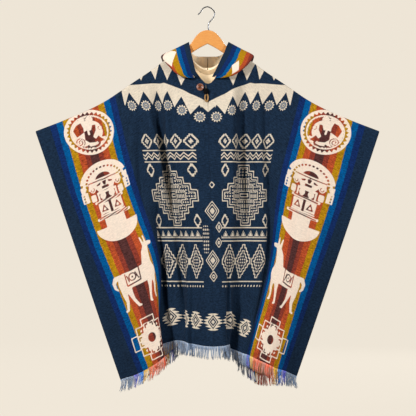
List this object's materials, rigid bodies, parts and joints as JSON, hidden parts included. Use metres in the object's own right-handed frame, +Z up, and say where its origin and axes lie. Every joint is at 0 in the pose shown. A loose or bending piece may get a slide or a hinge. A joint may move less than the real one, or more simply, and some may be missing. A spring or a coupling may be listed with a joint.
{
  "type": "hooded poncho on a wooden hanger",
  "caption": "Open-sided woven poncho with a thrown-back hood, a buttoned neck and fringed hems, hanging on a flat wooden hanger with a wire hook.",
  "frame": {"origin": "inside of the hanger hook's bend, where a rail carries it", "axes": "+Z up along the hang, -Y out of the poncho's front, +X to the viewer's right, across the shoulders"},
  "size_m": [1.2606, 0.2105, 1.4173],
  "materials": {
    "cloth": "brushed woven cloth, navy with striped side bands",
    "hood_cloth": "brushed woven cloth, striped",
    "fringe": "twisted yarn",
    "shell": "polished coconut shell",
    "cord": "braided cord",
    "whipping": "wound thread",
    "wood": "clear varnish",
    "steel": "bright wire"
  },
  "bodies": {
    "root": {"poncho_front": "cloth", "poncho_back": "cloth", "hood_left": "hood_cloth", "hood_right": "hood_cloth", "fringe_front": "fringe", "fringe_back": "fringe", "button": "shell", "loop_cord": "cord", "cord_loop": "cord", "loop_knot": "whipping", "hanger_board": "wood", "hanger_hook": "steel"}
  },
  "joints": []
}
